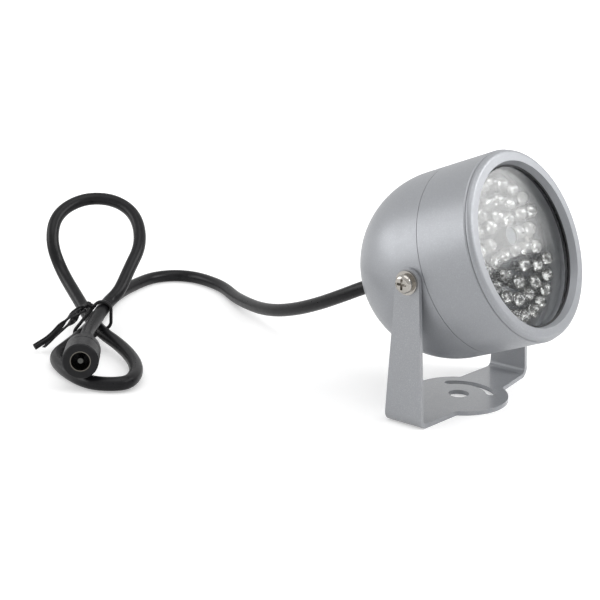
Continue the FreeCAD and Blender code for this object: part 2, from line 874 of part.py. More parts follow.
def route(points):
    """The path through the points: straight runs joined by tangent arcs, each arc as large
    as its two runs allow."""
    share = 0.45
    edges = []
    radii = []
    here = points[0]
    for before, corner, after in zip(points, points[1:], points[2:]):
        back = before - corner
        ahead = after - corner
        cut = share * min(back.Length, ahead.Length)
        turn = math.pi - back.getAngle(ahead)
        back.normalize()
        ahead.normalize()
        arc_start = corner + back * cut
        arc_end = corner + ahead * cut
        radius = cut / math.tan(turn / 2)
        radii.append(radius)
        inward = (back + ahead).normalize()
        middle = corner + inward * (radius / math.cos(turn / 2) - radius)
        edges.append(Part.LineSegment(here, arc_start).toShape())
        edges.append(Part.Arc(arc_start, middle, arc_end).toShape())
        here = arc_end
    edges.append(Part.LineSegment(here, points[-1]).toShape())
    return Part.Wire(edges), radii


def swept(name, points, section, area):
    """A section swept along a route, its volume compared with its area times the length."""
    path, radii = route(points)
    shape = path.makePipeShell([section], True, False)
    expected = area * path.Length
    if abs(shape.Volume / expected - 1) > 0.01:
        raise RuntimeError("%s: volume %.1f, expected %.1f" % (name, shape.Volume, expected))
    print("%s: length %.1f mm, arc radii %s"
          % (name, path.Length, " ".join("%.1f" % radius for radius in radii)))
    return shape


def tube(name, points, radius):
    """A round tube along a route, as a sub-part."""
    section = Part.Wire(Part.Circle(points[0], points[1] - points[0], radius).toShape())
    feature = doc.addObject("Part::Feature", name)
    feature.Shape = swept(name, points, section, math.pi * radius * radius)
    return feature


def make_wires():
    """The red and the black wire from the cord's end to the back of the board."""
    start = (gland_back + size("cord_inside")).value
    end = board_back.value
    rise = end - start
    far_y = -size("wire_end_drop").value
    for side, name in ((-1, "red_wire"), (1, "black_wire")):
        near_x = side * size("wire_pitch").value / 2
        far_x = side * size("wire_end_spread").value / 2
        points = [
            Vector(near_x, 0, start),
            Vector(near_x, 0, start + 0.3 * rise),
            Vector(far_x, far_y, start + 0.65 * rise),
            Vector(far_x, far_y, end),
        ]
        on_head(tube(name, points, size("wire_diameter").value / 2))


# The cord's route on the floor and in the bundle, in the bracket's frame: points chosen by
# hand, with the cord's centre at this height where it lies on the floor.
LYING = cord_radius.value + 0.1
LEAD_END = Vector(43.2, 154.5, LYING)
LEAD_POINTS = [
    Vector(0, 57.5, 27),
    Vector(0.5, 73.5, 19),
    Vector(4, 89, 13),
    Vector(14.5, 102.5, 9.5),
    Vector(22.5, 117.5, 6),
    Vector(32, 132, 3.5),
    Vector(40, 147, LYING),
    LEAD_END,
]
BUNDLE_POINTS = [
    LEAD_END,
    Vector(46.4, 162, LYING),
    Vector(47.2, 173, LYING),
    Vector(43, 182, LYING),
    Vector(33.5, 186.5, LYING),
    Vector(20.5, 184.5, LYING),
    Vector(8.5, 181, LYING),
    Vector(-3, 175.5, LYING),
    Vector(-16.5, 167, LYING),
    Vector(-30.5, 157.5, LYING),
    Vector(-43.5, 149, 3.8),
    Vector(-56, 144, 3.2),
    Vector(-69, 139, LYING),
    Vector(-76.5, 125, LYING),
    Vector(-80.5, 109, 2.8),
    Vector(-76.5, 99.5, 3),
    Vector(-70.5, 95.5, 3.3),
    Vector(-58.5, 104, 3.8),
    Vector(-48, 122, 4.6),
    Vector(-42.3, 143.2, 6.5),
    Vector(-33, 163, 12.5),
    Vector(-27, 179.5, 20.5),
    Vector(-28, 184, 32.5),
    Vector(-20, 189, 42),
    Vector(-6, 187.5, 46.5),
    Vector(1.5, 176, 46.5),
    Vector(2, 163.5, 41.5),
    Vector(-6.5, 152.5, 32.5),
    Vector(-17, 149.5, 24.5),
    Vector(-27, 145.5, 17.6),
    Vector(-32.8, 147, 13.9),
    Vector(-55.4, 134.1, 10.6),
    Vector(-62, 128, 11),
]
FIRST_RUN = 8.0


def make_cord():
    """The cord outside the lamp: the lead from the gland, and the rest with its bundle."""
    turn = FreeCAD.Rotation(Vector(1, 0, 0), head_turn.value)
    place = FreeCAD.Placement(Vector(0, 0, pivot_height.value), turn)
    gland_exit = place.multVec(Vector(0, 0, gland_back.value))
    first_bend = place.multVec(Vector(0, 0, gland_back.value - FIRST_RUN))
    keep(tube("cord_lead", [gland_exit, first_bend] + LEAD_POINTS, cord_radius.value))
    keep(tube("cord_bundle", BUNDLE_POINTS, cord_radius.value))


def at_cord_end(piece):
    """Place a socket piece: its axis goes on where the cord's last run ends."""
    axis = BUNDLE_POINTS[-1] - BUNDLE_POINTS[-2]
    turn = FreeCAD.Rotation(Vector(0, 0, 1), axis)
    piece.Placement = FreeCAD.Placement(BUNDLE_POINTS[-1], turn)
    return keep(piece)


def make_socket():
    """The supply socket: moulded body with its tail, sleeve contact and centre pin."""
    shoulder_start = size("tail_length")
    shoulder_end = shoulder_start + size("socket_shoulder")
    ring_end = shoulder_end + size("socket_ring")
    groove_end = ring_end + size("socket_ring_groove")
    face = groove_end + size("socket_collar")
    shoulder_radius = size("socket_shoulder_diameter") / 2
    ring_radius = size("socket_ring_diameter") / 2
    groove_radius = ring_radius - size("socket_ring_depth")
    collar_radius = size("socket_diameter") / 2
    bore = size("contact_diameter") / 2
    floor = face - size("contact_depth")
    chamfer = size("socket_chamfer")
    at_cord_end(turned("socket_body", [
        (zero, zero),
        (size("tail_end_diameter") / 2, zero),
        (size("tail_root_diameter") / 2, shoulder_start),
        (shoulder_radius, shoulder_start),
        (ring_radius, shoulder_end),
        (ring_radius, ring_end),
        (groove_radius, ring_end),
        (groove_radius, groove_end),
        (collar_radius, groove_end),
        (collar_radius, face - chamfer),
        (collar_radius - chamfer, face),
        (bore, face),
        (bore, floor),
        (zero, floor),
    ]))
    at_cord_end(ring("socket_sleeve", bore - size("contact_wall"), bore, floor, face))
    at_cord_end(ring("socket_pin", zero, size("centre_pin") / 2,
                     floor, face - size("pin_setback")))


# The twist tie: the corners that its band goes round, which are the lead's strand, the slack
# of the band and the highest strand, then its knot and the courses of its two free ends.
TIE_CORNERS = (Vector(-43.8, 149.3, 3.5), Vector(-38.5, 143.7, 8.6), Vector(-38.5, 143.7, 13.1))
KNOT_ROOT = Vector(-40.8, 146.1, 15.2)
TIE_KNOT = Vector(-42.6, 148.1, 15.9)
TIE_ENDS = (
    (TIE_KNOT, Vector(-48.9, 147.4, 13.4), Vector(-55.5, 147.5, 10.2),
     Vector(-61.2, 149.6, 6.6), Vector(-67.4, 152.5, 2.6)),
    (TIE_KNOT, Vector(-48.9, 146.6, 12.6), Vector(-55.5, 148.3, 9.4),
     Vector(-60.5, 148.3, 6.8), Vector(-65.3, 149.1, 3.6)),
)


def make_tie():
    """The twist tie: a band round the three strands, a knot and two free ends."""
    width = size("tie_width").value
    thickness = size("tie_thickness").value
    inside = cord_radius.value + size("tie_gap").value
    low, slack, high = TIE_CORNERS
    across = (high - low).cross(slack - low).normalize()
    loop = Part.makePolygon([low, slack, high, low])
    face = Part.Face(loop.makeOffset2D(inside + thickness))
    face = face.cut(Part.Face(loop.makeOffset2D(inside)))
    band = face.extrude(across * width)
    band.translate(across * (-width / 2))
    knot_axis = TIE_KNOT - KNOT_ROOT
    knot = Part.makeCylinder(size("knot_width").value / 2, knot_axis.Length, KNOT_ROOT, knot_axis)
    shape = band.fuse(knot)
    for number, points in enumerate(TIE_ENDS):
        first = (points[1] - points[0]).normalize()
        side = first.cross(Vector(0, 0, 1)).normalize() * (width / 2)
        up = side.cross(first).normalize() * (thickness / 2)
        corners = [points[0] + a * side + b * up
                   for a, b in ((1, 1), (-1, 1), (-1, -1), (1, -1), (1, 1))]
        section = Part.makePolygon([Vector(corner) for corner in corners])
        shape = shape.fuse(swept("tie end %d" % number, points, section, width * thickness))
    tie = doc.addObject("Part::Feature", "twist_tie")
    tie.Shape = shape
    return keep(tie)


def write_pieces():
    """Check every object and write each sub-part to its own file."""
    doc.recompute()
    for item in doc.Objects:
        if "Invalid" in item.State or "Error" in item.State:
            raise RuntimeError("%s failed: %s" % (item.Name, item.State))
    os.makedirs("parts", exist_ok=True)
    for piece in pieces:
        if piece.Shape.isNull() or not piece.Shape.isValid():
            raise RuntimeError("%s has no valid shape" % piece.Label)
        piece.Shape.exportStep("parts/%s.step" % piece.Label)
    print("%d sub-parts written" % len(pieces))


make_bracket()
make_rear_housing()
make_housing_seal()
make_front_housing()
make_bezel()
make_window()
make_board()
make_light_source()
make_sensor()
make_screws()
make_gland()
make_small_parts()
make_wires()
make_cord()
make_socket()
make_tie()
write_pieces()
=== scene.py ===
"""Looks of an infrared illuminator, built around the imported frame.

The lamp head tilts in its bracket, and a cord leaves its back for a bundle on the floor.
Lengths in the settings and on the stage are in metres, and those of the cord's route, the
twist tie and the emitters' inner parts are in millimetres.
"""

import json
import math

import bmesh
import bpy
from mathutils import Matrix, Quaternion, Vector


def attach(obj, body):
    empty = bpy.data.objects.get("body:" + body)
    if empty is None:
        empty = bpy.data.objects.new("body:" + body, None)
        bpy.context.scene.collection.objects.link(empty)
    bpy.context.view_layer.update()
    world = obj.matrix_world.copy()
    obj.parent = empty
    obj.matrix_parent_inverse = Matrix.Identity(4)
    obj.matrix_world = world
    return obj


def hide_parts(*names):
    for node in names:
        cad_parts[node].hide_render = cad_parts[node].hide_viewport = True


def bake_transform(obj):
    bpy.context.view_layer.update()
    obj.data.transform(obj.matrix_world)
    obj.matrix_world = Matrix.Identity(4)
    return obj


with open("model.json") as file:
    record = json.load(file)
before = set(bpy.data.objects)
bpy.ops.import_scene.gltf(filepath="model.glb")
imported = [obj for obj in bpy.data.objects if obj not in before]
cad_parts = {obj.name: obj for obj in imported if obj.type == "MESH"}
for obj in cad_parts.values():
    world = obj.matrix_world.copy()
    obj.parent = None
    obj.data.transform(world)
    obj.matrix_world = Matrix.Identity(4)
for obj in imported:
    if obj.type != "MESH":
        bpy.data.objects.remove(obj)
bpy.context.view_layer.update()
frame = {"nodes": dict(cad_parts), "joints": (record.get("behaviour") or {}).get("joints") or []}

bl_info = {
    "name": "Infrared illuminator",
    "version": (1, 0, 0),
    "blender": (4, 5, 0),
    "location": "View3D > Sidebar > Illuminator",
    "description": "Dresses the lamp head, its bracket and its cord, and lights them",
    "category": "Object",
}

MM = 0.001
WHITE = (1, 1, 1, 1)
NODES = frame["nodes"]

# The tilt axis, and the lamp's own axis as it points out of the window.
PIVOT = Vector(frame["joints"][0]["pos_m"])
LAMP_PITCH = math.radians(22.5)
LAMP_AXIS = Vector((0, -math.cos(LAMP_PITCH), math.sin(LAMP_PITCH)))
LAMP_FRAME = Matrix.Translation(PIVOT) @ Matrix.Rotation(math.pi / 2 - LAMP_PITCH, 4, "X")

# The cord's route: from the gland, whose mouth is this far along the lamp's axis, over the
# floor, round the bundle and to the socket. The bundle has the points of the part's source,
# and those of the lead were moved to follow the photograph.
GLAND_REACH = -37.93
FIRST_RUN = 8.0
LYING = 2.7
LEAD_ROUTE = [
    (1, 53.5, 28),
    (4, 67.5, 21.1),
    (8, 82, 15),
    (13, 96.5, 10.2),
    (20, 111, 6.7),
    (27.5, 124.5, 4.5),
    (35.5, 138, LYING),
    (43, 150.5, LYING),
]
BUNDLE_ROUTE = [
    (46.4, 162, LYING),
    (47.2, 173, LYING),
    (43, 182, LYING),
    (33.5, 186.5, LYING),
    (20.5, 184.5, LYING),
    (8.5, 181, LYING),
    (-3, 175.5, LYING),
    (-16.5, 167, LYING),
    (-30.5, 157.5, LYING),
    (-43.5, 149, 3.8),
    (-56, 144, 3.2),
    (-69, 139, LYING),
    (-76.5, 125, LYING),
    (-80.5, 109, 2.8),
    (-76.5, 99.5, 3),
    (-70.5, 95.5, 3.3),
    (-58.5, 104, 3.8),
    (-48, 122, 4.6),
    (-42.3, 143.2, 6.5),
    (-33, 163, 12.5),
    (-27, 179.5, 20.5),
    (-28, 184, 32.5),
    (-20, 189, 42),
    (-6, 187.5, 46.5),
    (1.5, 176, 46.5),
    (2, 163.5, 41.5),
    (-6.5, 152.5, 32.5),
    (-17, 149.5, 24.5),
    (-27, 145.5, 17.6),
    (-32.8, 147, 13.9),
    (-55.4, 134.1, 10.6),
    (-62, 128, 11),
]

# The cord's faces round it, and its points from one control point to the next.
CORD_SIDES = 28
CORD_STEPS = 8

# The section of the twist tie's ribbon: how far out the wire's foot and crown stand, as shares
# of half its width, and half its thickness beside the wire, as a share of its core.
WIRE_FOOT = 0.45
WIRE_CROWN = 0.22
BESIDE_WIRE = 0.22

# The twist tie: the upright plane that its band lies in, how far from there it takes strands
# in, the slack of the band beside them, its gap over the cord, its width as a share of the
# ribbon's, and its points.
TIE_FOOT = (-39.2, 144.4, 0)
TIE_HEADING = (-0.6816, 0.7317, 0)
TIE_CATCH = 12
TIE_SLACK = (-38.5, 143.7, 8.6)
TIE_GAP = 0.25
BAND_WIDTH = 0.8
BAND_STEPS = 72

# The tie's knot: its root and top, the (share of its height, share of the ribbon's width)
# points that it winds through, its width as a share of the ribbon's, its turn in radians, and
# its points from one to the next.
TIE_KNOT = ((-40.8, 146.1, 15.2), (-42.6, 148.1, 15.9))
KNOT_WINDING = ((-0.2, -0.5), (0.25, 0.1), (0.6, 0.35), (0.95, 0.0), (0.7, -0.4), (0.2, -0.3))
KNOT_WIDTH = 0.75
KNOT_TURN = 5.0
KNOT_STEPS = 8

# The tie's two ends, the turn that each starts with in radians, the share of them that is
# twisted, how their twist eases, their core as a share of the ribbon's, and their points.
LONG_END = ((-41.9, 147.3, 15.7), (-43.7, 147.4, 15.9), (-46.5, 147.0, 15.6),
            (-50.2, 146.9, 14.2), (-53.0, 148.0, 12.2), (-55.6, 149.4, 9.6),
            (-58.2, 150.2, 7.2), (-61.4, 151.0, 5.2), (-64.2, 152.0, 4.0), (-66.6, 152.6, 3.0))
SHORT_END = ((-41.9, 147.5, 15.4), (-43.5, 147.2, 15.0), (-45.6, 146.6, 14.4),
             (-47.9, 146.9, 13.0), (-50.3, 147.6, 11.0), (-52.0, 149.0, 9.2),
             (-54.2, 150.2, 7.2), (-57.0, 150.8, 5.6), (-60.4, 150.4, 4.2), (-64.0, 149.6, 3.2))
LONG_END_TURN = 0.3
SHORT_END_TURN = 2.0
TWISTED_SHARE = 0.6
TWIST_EASE = 0.9
END_CORE = 0.75
END_STEPS = 12

# Inside an emitter, over its seat: the post with the cup and the post beside it, each with its
# wider head, and the cup's wall as (share of its radius, height) from its foot round the rim
# to its floor.
LEADS = (
    ((-1.5, -0.25, 0.3), (-0.9, 0.25, 3.3)),
    ((-1.6, -0.4, 2.6), (0.5, 0.4, 3.5)),
    ((0.95, -0.25, 0.3), (1.5, 0.25, 4.4)),
    ((0.8, -0.45, 3.6), (1.7, 0.45, 4.7)),
)
CUP_WALL = (
    (0.45, 2.6),
    (0.6, 3.8),
    (0.88, 5.0),
    (1.0, 5.9),
    (0.94, 6.1),
    (0.75, 5.5),
    (0.5, 4.8),
    (0.24, 4.5),
    (0.2, 4.5),
)
CUP_SIDES = 20

# Faces that meet at less than this many degrees are shaded smooth, and points of a solid
# nearer to each other than this many metres are one.
SMOOTH_ANGLE = 35
SAME_POINT = 1e-6

# The range that most of a noise lies in, and how much of the white floor and background
# reflections show.
NOISE_RANGE = (0.3, 0.7)
MIRRORED_SHARE = 0.6

# The lamps: the middle of each, its two sides as vectors, and the setting with its power.
LAMPS = (
    ("key_lamp", (0.294, -0.271, 0.289), (0.28, 0.1, -0.033), (0, 0.111, 0.279), "key_power"),
    ("rear_lamp", (-0.40, 0.57, 0.30), (-0.44, -0.24, -0.1), (-0.08, 0.13, 0.42), "rear_power"),
    ("front_lamp", (0.02, -0.42, 0.42), (0.2, 0, 0), (0, 0.11, 0.11), "front_power"),
    ("top_lamp", (-0.15, -0.05, 0.85), (0.7, 0, 0), (0, 0.7, 0), "top_power"),
)

# The floor's glow as (distance from its middle, strength), the number of its sides, and the
# corners of the dark card.
NEAR_GLOW = (0.18, 0.36)
FAR_GLOW = (0.6, 1.0)
FLOOR_SIDES = 64
CARD_CORNERS = (
    (0.62, -0.22, 0.02), (0.30, -0.70, 0.02), (0.30, -0.70, 0.45), (0.62, -0.22, 0.45))

# The camera's own axes as fitted to the photograph, and its sensor's width in millimetres.
CAMERA_SIDE = (0.62274, -0.78237, 0.00966)
CAMERA_UP = (0.22362, 0.18979, 0.95602)
CAMERA_BACK = (-0.74979, -0.59320, 0.29314)
SENSOR_WIDTH = 36.0


def length(name, default, text):
    """A size setting, in metres."""
    return bpy.props.FloatProperty(
        name=name, default=default, min=0.0, precision=5, unit="LENGTH", description=text)


def colour(name, default, text):
    """A colour setting."""
    return bpy.props.FloatVectorProperty(
        name=name, default=default, min=0.0, max=1.0, size=3, subtype="COLOR",
        description=text)


class IlluminatorSizes(bpy.types.PropertyGroup):
    """Sizes of what is built here."""

    cord_diameter: length("Cord", 5.2 * MM, "Diameter of the cord")
    cord_length: length("Cord length", 0.585, "Length of the cord outside the lamp")
    cup_radius: length("Cup", 1.8 * MM, "Radius of the reflector cup in an emitter")
    tie_width: length("Tie", 2.4 * MM, "Width of the twist tie's ribbon")
    tie_core: length("Tie core", 1.3 * MM, "Thickness over the twist tie's wire")


class IlluminatorColours(bpy.types.PropertyGroup):
    """Colours of the finishes."""

    paint: colour("Paint", (0.33, 0.34, 0.36), "Metallic paint of the housing and bracket")
    sheath: colour("Sheath", (0.008, 0.008, 0.009), "Cord and socket")
    plating: colour("Plating", (0.42, 0.4, 0.37), "Screws and washers")
    solder_mask: colour("Solder mask", (0.03, 0.035, 0.04), "Board that carries the emitters")
    sensor: colour("Sensor", (0.02, 0.027, 0.036), "Face of the light sensor")


class IlluminatorStage(bpy.types.PropertyGroup):
    """Floor, lamps and camera."""

    floor_radius: length("Floor", 4.0, "Radius of the floor")
    lens: bpy.props.FloatProperty(
        name="Lens", default=87.03, min=10.0, unit="CAMERA",
        description="Focal length of the camera, in millimetres")
    camera_place: bpy.props.FloatVectorProperty(
        name="Camera", default=(-0.42153, -0.25988, 0.18712), size=3, subtype="TRANSLATION",
        unit="LENGTH", description="Place of the camera")
    key_power: bpy.props.FloatProperty(
        name="Key", default=1.32, min=0.0, unit="POWER", description="Power of the key lamp")
    rear_power: bpy.props.FloatProperty(
        name="Rear", default=2.0, min=0.0, unit="POWER", description="Power of the rear lamp")
    front_power: bpy.props.FloatProperty(
        name="Front", default=0.6, min=0.0, unit="POWER", description="Power of the front lamp")
    top_power: bpy.props.FloatProperty(
        name="Top", default=2.2, min=0.0, unit="POWER", description="Power of the top lamp")
    sky_level: bpy.props.FloatProperty(
        name="Sky", default=0.55, min=0.0, description="Plain light from all sides")


def new_material(name, **constants):
    """A material with one shader, and the constant values of its sockets."""
    material = bpy.data.materials.new(name)
    material.use_nodes = True
    shader = material.node_tree.nodes["Principled BSDF"]
    for socket, value in constants.items():
        label = socket.replace("_", " ").title().replace("Ior", "IOR")
        shader.inputs[label].default_value = value
    return material, shader


def node(material, kind, **values):
    """A node with its input values set, by name."""
    made = material.node_tree.nodes.new(kind)
    for name, value in values.items():
        made.inputs[name.replace("_", " ").title()].default_value = value
    return made


def join(material, output, socket):
    """Link one node's output to another's socket."""
    material.node_tree.links.new(output, socket)


def place(material):
    """Where a point is on its piece, in metres."""
    return node(material, "ShaderNodeTexCoord").outputs["Object"]


def noise(material, scale, detail=2.0):
    """Noise with this many features a metre."""
    made = node(material, "ShaderNodeTexNoise", scale=scale, detail=detail)
    join(material, place(material), made.inputs["Vector"])
    return made.outputs["Fac"]


def ramp(material, value, stops):
    """Colours by value: (place, colour) stops."""
    made = node(material, "ShaderNodeValToRGB")
    elements = made.color_ramp.elements
    while len(elements) < len(stops):
        elements.new(0.5)
    for element, (where, shade) in zip(elements, stops):
        element.position = where
        element.color = (*shade, 1.0)
    join(material, value, made.inputs["Fac"])
    return made.outputs["Color"]


def spread(material, value, source, target, interpolation="LINEAR"):
    """A value in the source range, spread over the target range."""
    made = node(material, "ShaderNodeMapRange", from_min=source[0], from_max=source[1],
                to_min=target[0], to_max=target[1])
    made.interpolation_type = interpolation
    join(material, value, made.inputs["Value"])
    return made.outputs["Result"]


def mottle(material, shader, pattern, stops):
    """Base colour that follows a pattern, by (place, colour) stops."""
    join(material, ramp(material, pattern, stops), shader.inputs["Base Color"])


def uneven_gloss(material, shader, pattern, roughness):
    """Roughness that varies over its range with a pattern."""
    join(material, spread(material, pattern, NOISE_RANGE, roughness),
         shader.inputs["Roughness"])


def raise_surface(material, shader, height, depth, strength=1.0):
    """Bump by a height between 0 and 1, this deep in millimetres."""
    bump = node(material, "ShaderNodeBump", strength=strength, distance=depth * MM)
    join(material, height, bump.inputs["Height"])
    join(material, bump.outputs["Normal"], shader.inputs["Normal"])


def shade_of(tone, share):
    """A colour made lighter or darker."""
    return tuple(min(1.0, channel * share) for channel in tone)


def let_lamps_through(material, shader):
    """Glass that light from the lamps passes, so that what is behind it is lit."""
    nodes = material.node_tree.nodes
    path = nodes.new("ShaderNodeLightPath")
    clear = nodes.new("ShaderNodeBsdfTransparent")
    mix = nodes.new("ShaderNodeMixShader")
    join(material, path.outputs["Is Shadow Ray"], mix.inputs[0])
    join(material, shader.outputs[0], mix.inputs[1])
    join(material, clear.outputs[0], mix.inputs[2])
    join(material, mix.outputs[0], nodes["Material Output"].inputs["Surface"])


def metallic_paint(name, tone, lacquer):
    """Semi-gloss silver paint: fine bright flakes over a soft orange peel, under lacquer."""
    material, shader = new_material(
        name, metallic=0.4, coat_weight=lacquer, coat_roughness=0.18)
    flakes = noise(material, 4200, 1.0)
    film = noise(material, 900)
    orange_peel = noise(material, 1100)
    mottle(material, shader, flakes, [
        (0.3, shade_of(tone, 0.94)), (0.58, tone), (0.74, shade_of(tone, 1.25))])
    uneven_gloss(material, shader, film, (0.36, 0.44))
    raise_surface(material, shader, orange_peel, 0.02, 0.3)
    return material


def window_glass():
    """Clear polished glass with a faint haze of its own."""
    material, shader = new_material(
        "window_glass", transmission_weight=1.0, ior=1.35, base_color=(0.97, 0.98, 0.98, 1))
    haze = noise(material, 40)
    uneven_gloss(material, shader, haze, (0.065, 0.08))
    let_lamps_through(material, shader)
    return material


def clear_epoxy():
    """Water-clear moulded epoxy."""
    material, shader = new_material("clear_epoxy", transmission_weight=1.0, ior=1.52)
    tint = noise(material, 300)
    polish = noise(material, 700)
    mottle(material, shader, tint, [(0.3, (0.93, 0.95, 0.97)), (0.7, (1.0, 1.0, 1.0))])
    uneven_gloss(material, shader, polish, (0.0, 0.02))
    let_lamps_through(material, shader)
    return material


def bright_metal(name, tone, roughness):
    """Plated or polished metal with fine uneven gloss."""
    material, shader = new_material(name, metallic=1.0)
    tarnish = noise(material, 1200)
    wear = noise(material, 500, 4.0)
    scratches = noise(material, 1500, 4.0)
    mottle(material, shader, tarnish, [(0.3, shade_of(tone, 0.88)), (0.7, shade_of(tone, 1.06))])
    uneven_gloss(material, shader, wear, roughness)
    raise_surface(material, shader, scratches, 0.01, 0.4)
    return material


def silver_with_painted_glints():
    """Bright metal with a finely uneven face, which breaks a reflection into many glints, and
    painted glints: a base colour spotted from near black to near white.
    """
    material, shader = new_material("lead_silver", metallic=1.0)
    painted_glints = noise(material, 1500)
    polish = noise(material, 800)
    dents = noise(material, 1900)
    # Painted glints and painted dark patches: the base colour runs in fine spots from near black
    # to near white.
    mottle(material, shader, painted_glints, [
        (0.39, (0.08, 0.077, 0.073)), (0.5, (0.3, 0.295, 0.285)), (0.63, (0.92, 0.91, 0.89))])
    uneven_gloss(material, shader, polish, (0.12, 0.3))
    raise_surface(material, shader, dents, 0.2)
    return material


def plastic(name, tone, roughness, grain, depth, gleam=0.5):
    """Moulded plastic or rubber: its roughness range, and its grain a metre and in depth."""
    material, shader = new_material(name, specular_ior_level=gleam)
    clouds = noise(material, grain / 4)
    film = noise(material, grain / 2)
    pores = noise(material, grain, 3.0)
    mottle(material, shader, clouds, [(0.3, shade_of(tone, 0.8)), (0.7, shade_of(tone, 1.25))])
    uneven_gloss(material, shader, film, roughness)
    raise_surface(material, shader, pores, depth, 0.5)
    return material


def assign(piece, material):
    """Give a piece one material, on every face."""
    piece.data.materials.clear()
    piece.data.materials.append(material)
    for polygon in piece.data.polygons:
        polygon.material_index = 0


def smooth(piece):
    """Smooth shading, apart from the edges."""
    for polygon in piece.data.polygons:
        polygon.use_smooth = True
    piece.data.set_sharp_from_angle(angle=math.radians(SMOOTH_ANGLE))


def add_mesh(name, vertices, faces):
    """A mesh piece from its vertices and faces."""
    mesh = bpy.data.meshes.new(name)
    mesh.from_pydata(vertices, [], faces)
    mesh.validate()
    piece = bpy.data.objects.new(name, mesh)
    bpy.context.scene.collection.objects.link(piece)
    return piece


def spline_points(points, steps):
    """Points along the smooth line that control points make, this many from one to the next."""
    curve = bpy.data.curves.new("line", "CURVE")
    curve.dimensions = "3D"
    curve.resolution_u = steps
    line = curve.splines.new("NURBS")
    line.points.add(len(points) - 1)
    for point, where in zip(line.points, points):
        point.co = (*where, 1.0)
    line.order_u = 3
    line.use_endpoint_u = True
    holder = bpy.data.objects.new("line", curve)
    mesh = bpy.data.meshes.new_from_object(holder)
    found = [vertex.co.copy() for vertex in mesh.vertices]
    bpy.data.objects.remove(holder)
    bpy.data.curves.remove(curve)
    bpy.data.meshes.remove(mesh)
    return found


def frames_along(line):
    """A direction and a side at each point of a line, with the least twist."""
    directions = []
    for index, point in enumerate(line):
        before = line[max(index - 1, 0)]
        after = line[min(index + 1, len(line) - 1)]
        directions.append((after - before).normalized())
    side = directions[0].orthogonal().normalized()
    frames = []
    for direction in directions:
        side = (side - direction * side.dot(direction)).normalized()
        frames.append((direction, side.copy()))
    return frames


def turns(count):
    """This many angles, evenly round a circle."""
    return [2 * math.pi * number / count for number in range(count)]


def skin(rows, around, closed=False):
    """Faces over rows of points, with a cap at each end unless the last row meets the first."""
    faces = []
    for row in range(rows if closed else rows - 1):
        low = row * around
        high = (row + 1) % rows * around
        for number in range(around):
            after = (number + 1) % around
            faces.append((low + number, low + after, high + after, high + number))
    if not closed:
        last = (rows - 1) * around
        faces.append(tuple(reversed(range(around))))
        faces.append(tuple(range(last, last + around)))
    return faces


def tube(name, line, radius, around):
    """A closed round tube along a line."""
    vertices = []
    for point, (direction, side) in zip(line, frames_along(line)):
        up = direction.cross(side)
        for turn in turns(around):
            vertices.append(point + (side * math.cos(turn) + up * math.sin(turn)) * radius)
    piece = add_mesh(name, vertices, skin(len(line), around))
    smooth(piece)
    return piece


def bowl(seat, profile, around):
    """Vertices and faces of a round piece on a seat: a (radius, height) profile about its axis."""
    vertices = []
    for radius, height in profile:
        for turn in turns(around):
            vertices.append(seat @ Vector(
                (radius * math.cos(turn), radius * math.sin(turn), height)))
    return vertices, skin(len(profile), around)


def strands_at(line, foot, across, reach):
    """Where a line passes an upright plane, within reach of the plane's foot."""
    found = []
    for before, after in zip(line, line[1:]):
        low, high = (before - foot).dot(across), (after - foot).dot(across)
        if low * high < 0:
            spot = before.lerp(after, low / (low - high))
            if (spot - foot).xy.length < reach:
                found.append(spot)
    return found


def belt_line(corners, heading, across, reach, lowest):
    """The closed line of a belt round corners in one upright plane, over a lowest height."""
    middle = sum(corners, Vector()) / len(corners)
    line = []
    for turn in turns(BAND_STEPS):
        outward = heading * math.cos(turn) + Vector((0, 0, 1)) * math.sin(turn)
        corner = max(corners, key=lambda spot: (spot - middle).dot(outward))
        spot = corner + outward * reach
        spot.z = max(spot.z, lowest)
        line.append(spot - across * (spot - middle).dot(across))
    return line


def twist_of_end(share):
    """How far a free end has turned at a share of its length: twisted first, then open."""
    return 2.0 * math.pi * min(share / TWISTED_SHARE, 1.0) ** TWIST_EASE


def ribbon(line, width, core, twist, level, closed=False):
    """Vertices and faces of a flat ribbon with a wire down its middle.

    The ribbon's width starts along level, and twist gives its turn at each share of the line.
    """
    half, foot, crown = width / 2, width / 2 * WIRE_FOOT, width / 2 * WIRE_CROWN
    flat, raised = core * BESIDE_WIRE, core / 2
    upper = [(half, flat), (foot, flat), (crown, raised),
             (-crown, raised), (-foot, flat), (-half, flat)]
    section = upper + [(-x, -y) for x, y in upper]
    vertices = []
    count = len(line)
    for index, point in enumerate(line):
        before = line[index - 1] if closed or index else point
        after = line[(index + 1) % count] if closed or index < count - 1 else point
        along = (after - before).normalized()
        wide = (level - along * level.dot(along)).normalized()
        wide.rotate(Quaternion(along, twist(index / (count - 1))))
        thick = along.cross(wide)
        vertices += [point + wide * x + thick * y for x, y in section]
    return vertices, skin(count, len(section), closed)


def merge(name, parts):
    """One piece of several (vertices, faces) parts."""
    vertices = []
    faces = []
    for part_vertices, part_faces in parts:
        first = len(vertices)
        vertices += part_vertices
        faces += [tuple(first + number for number in face) for face in part_faces]
    piece = add_mesh(name, vertices, faces)
    work = bmesh.new()
    work.from_mesh(piece.data)
    bmesh.ops.recalc_face_normals(work, faces=work.faces)
    work.to_mesh(piece.data)
    work.free()
    smooth(piece)
    return piece


